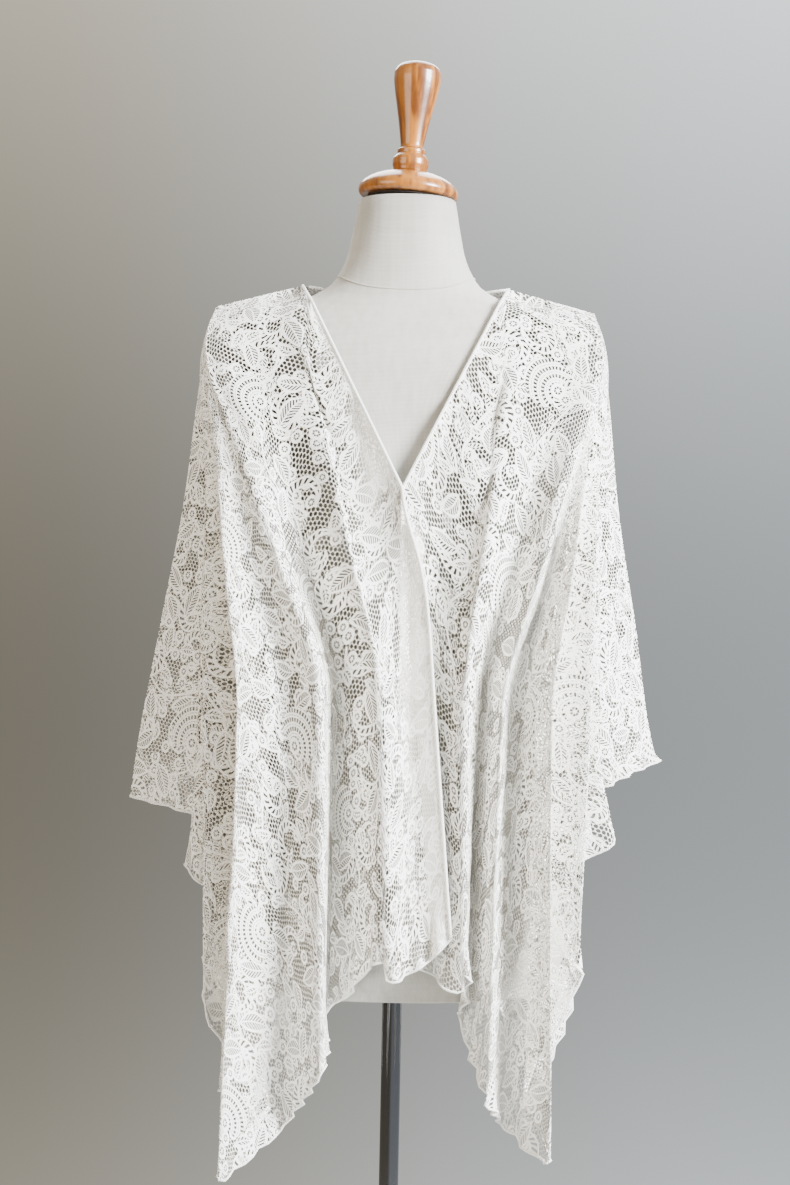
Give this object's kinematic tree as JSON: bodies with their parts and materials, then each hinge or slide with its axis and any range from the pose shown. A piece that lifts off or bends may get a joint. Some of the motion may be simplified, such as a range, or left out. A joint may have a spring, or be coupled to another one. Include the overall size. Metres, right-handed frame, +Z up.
{
  "type": "lace shawl on a dress form",
  "caption": "Wide open-front lace shawl with a V neck, hooked at the breast and hanging in folds from the shoulders of a limbless dress form on a pole with a round base.",
  "frame": {"origin": "middle of the underside of the round base, on the floor", "axes": "+Z up the pole, the garment's front towards -Y, the wearer's left towards +X"},
  "size_m": [0.5406, 0.3654, 1.6119],
  "materials": {
    "ivory_lace": "matt stretch lace",
    "ivory_binding": "soft rolled edge",
    "linen": "matt plain weave",
    "varnished_wood": "gloss varnish",
    "dark_wood": "matt",
    "chrome": "polished",
    "painted_steel": "satin",
    "hook_wire": "satin"
  },
  "bodies": {
    "root": {"back": "ivory_lace", "right_front": "ivory_lace", "left_front": "ivory_lace", "right_front_binding": "ivory_binding", "left_front_binding": "ivory_binding", "back_neck_binding": "ivory_binding", "hook": "hook_wire", "eye": "hook_wire", "dress_form": "linen", "cap_spacer": "dark_wood", "cap_disc": "varnished_wood", "cap_bead": "varnished_wood", "finial": "varnished_wood", "pole": "chrome", "base_collar": "chrome", "base": "painted_steel"}
  },
  "joints": []
}
